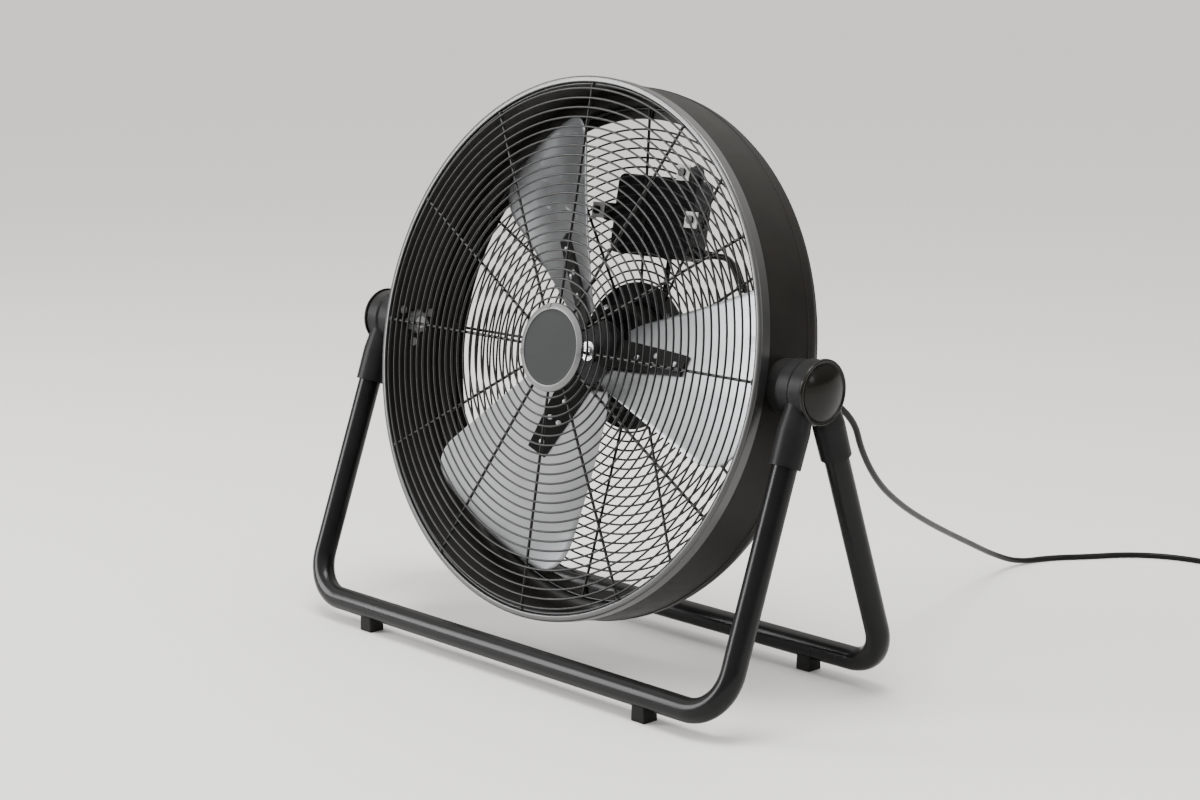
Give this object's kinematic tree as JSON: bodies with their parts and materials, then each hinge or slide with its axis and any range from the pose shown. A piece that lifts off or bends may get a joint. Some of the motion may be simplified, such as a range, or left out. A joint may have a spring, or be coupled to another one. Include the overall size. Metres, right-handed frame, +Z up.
{
  "type": "drum fan",
  "caption": "Floor-standing drum fan: round steel drum with wire guards and metal blades, tilting between two bent-tube legs with rubber feet and a mains cord.",
  "frame": {"origin": "Centre of the fan's own bounding box, at floor level, without the free cord and plug", "axes": "+Z up; -Y is the side the air blows to; X runs along the tilt axis"},
  "size_m": [0.6245, 0.9426, 0.539],
  "materials": {
    "black_painted_steel": "satin black powder coat on steel sheet and wire",
    "black_tube": "semi-gloss black enamel on steel tube",
    "dark_plastic": "fine-textured dark grey moulding",
    "gloss_plastic": "smooth glossy dark moulding",
    "black_rubber": "matt black rubber or cable sheath",
    "bright_steel": "zinc-plated steel",
    "white_plastic": "plain white moulding",
    "blade_aluminium": "rolled aluminium sheet",
    "motor_black": "matt black paint on pressed steel",
    "lamination_steel": "stacked electrical steel",
    "copper": "varnished copper wire"
  },
  "bodies": {
    "stand": {"leg_tube_front": "black_tube", "leg_tube_rear": "black_tube", "side_hub_inner_left": "dark_plastic", "side_hub_inner_right": "dark_plastic", "side_hub_outer_left": "dark_plastic", "side_hub_outer_right": "dark_plastic", "side_cap_left": "gloss_plastic", "side_cap_right": "gloss_plastic", "side_hub_screws": "bright_steel", "foot_front_left": "black_rubber", "foot_front_right": "black_rubber", "foot_rear_left": "black_rubber", "foot_rear_right": "black_rubber", "foot_screws": "bright_steel", "cord_gland": "black_rubber", "cord_run": "black_rubber", "cord_coil": "black_rubber", "cord_plug": "black_rubber"},
    "head": {"bearing_front": "bright_steel", "bearing_rear": "bright_steel", "boss_screws": "bright_steel", "box_screws": "bright_steel", "cap_back_plate": "black_painted_steel", "clip_screws": "bright_steel", "control_box_base": "dark_plastic", "control_box_cover": "dark_plastic", "drum_shell": "black_painted_steel", "friction_washers": "dark_plastic", "front_guard_frame": "black_painted_steel", "front_guard_rings": "black_painted_steel", "front_ring": "black_painted_steel", "guard_cap": "gloss_plastic", "guard_clips": "bright_steel", "head_lead": "black_rubber", "lead_boot": "black_rubber", "motor_front_case": "motor_black", "motor_lead": "black_rubber", "motor_nuts": "bright_steel", "motor_rear_case": "motor_black", "motor_screws": "bright_steel", "pivot_bolt_left": "bright_steel", "pivot_bolt_right": "bright_steel", "pivot_boss_left": "dark_plastic", "pivot_boss_right": "dark_plastic", "pivot_nuts": "bright_steel", "rear_guard_frame": "black_painted_steel", "rear_guard_rings": "black_painted_steel", "rotary_switch": "dark_plastic", "run_capacitor": "white_plastic", "square_washers": "white_plastic", "stator_core": "lamination_steel", "stator_windings": "copper"},
    "rotor": {"blades": "blade_aluminium", "blade_hub": "bright_steel", "rotor_shaft": "bright_steel", "rotor_core": "lamination_steel", "shaft_nut": "bright_steel"},
    "knob": {"speed_knob": "dark_plastic", "switch_shaft": "bright_steel"}
  },
  "joints": [
    {"name": "head_tilt", "type": "hinge", "parent": "stand", "child": "head", "pos_m": [0, -0.00618, 0.287], "axis": [1, 0, 0], "range_deg": [-49, 41]},
    {"name": "rotor_spin", "type": "hinge", "parent": "head", "child": "rotor", "pos_m": [0, 0.00855, 0.28416], "axis": [0, -0.982, 0.1891], "continuous": true},
    {"name": "speed_knob_turn", "type": "hinge", "parent": "head", "child": "knob", "pos_m": [-0.022, 0.10735, 0.40058], "axis": [0, -0.982, 0.1891], "range_deg": [0, 135]}
  ]
}
